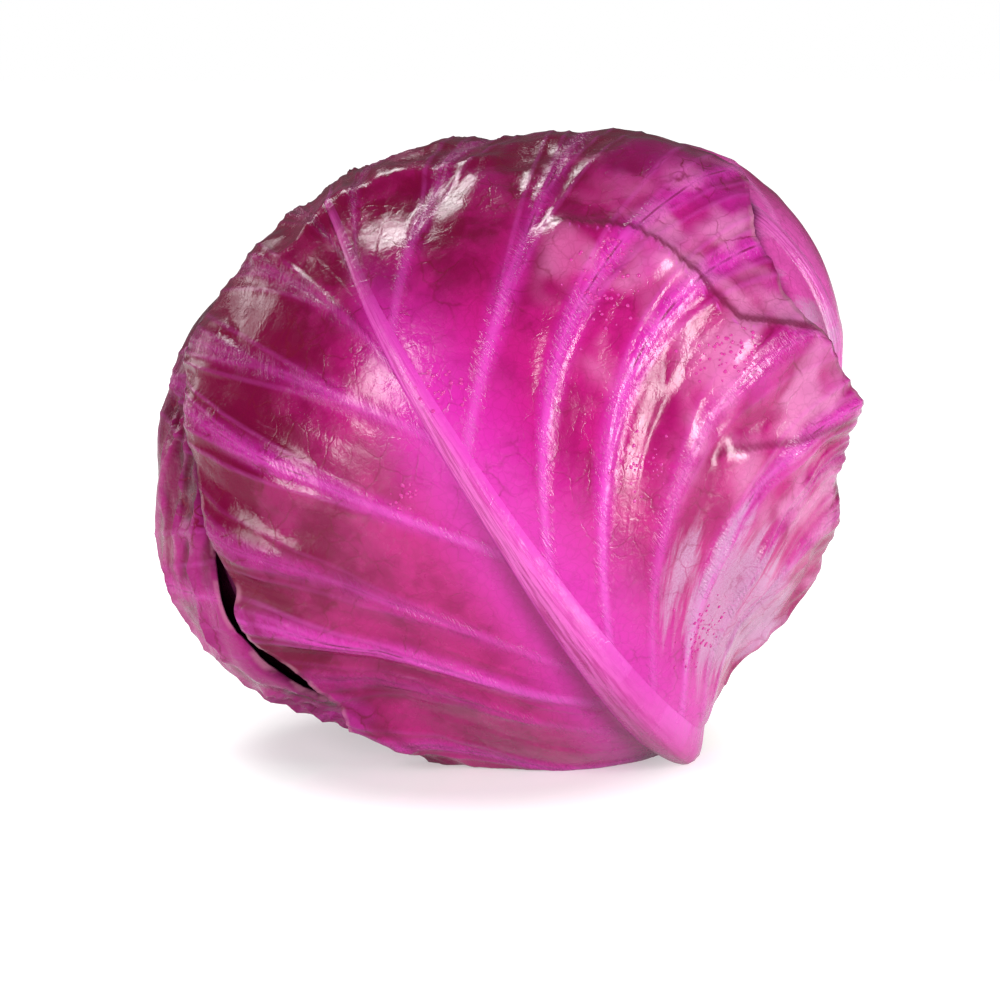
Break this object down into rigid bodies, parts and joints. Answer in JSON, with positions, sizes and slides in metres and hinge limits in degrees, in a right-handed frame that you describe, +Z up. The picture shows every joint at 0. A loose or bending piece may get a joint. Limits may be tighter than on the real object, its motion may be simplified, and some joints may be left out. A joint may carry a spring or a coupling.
{
  "type": "red cabbage head",
  "caption": "Red cabbage head lying on its side, with large waved outer leaves, raised ribs and veins, and a cut stalk.",
  "frame": {"origin": "bottom centre of the bounding box, on the table", "axes": "+X towards the stalk end, +Z up, -Y towards the front leaf's midrib"},
  "size_m": [0.1671, 0.1602, 0.151],
  "materials": {
    "leaf": null,
    "heart_leaf": null,
    "cut_stalk": null
  },
  "bodies": {
    "root": {"front_leaf": "leaf", "left_leaf": "leaf", "right_leaf": "leaf", "back_leaf": "leaf", "under_leaf": "leaf", "heart": "heart_leaf", "stalk": "cut_stalk"}
  },
  "joints": []
}
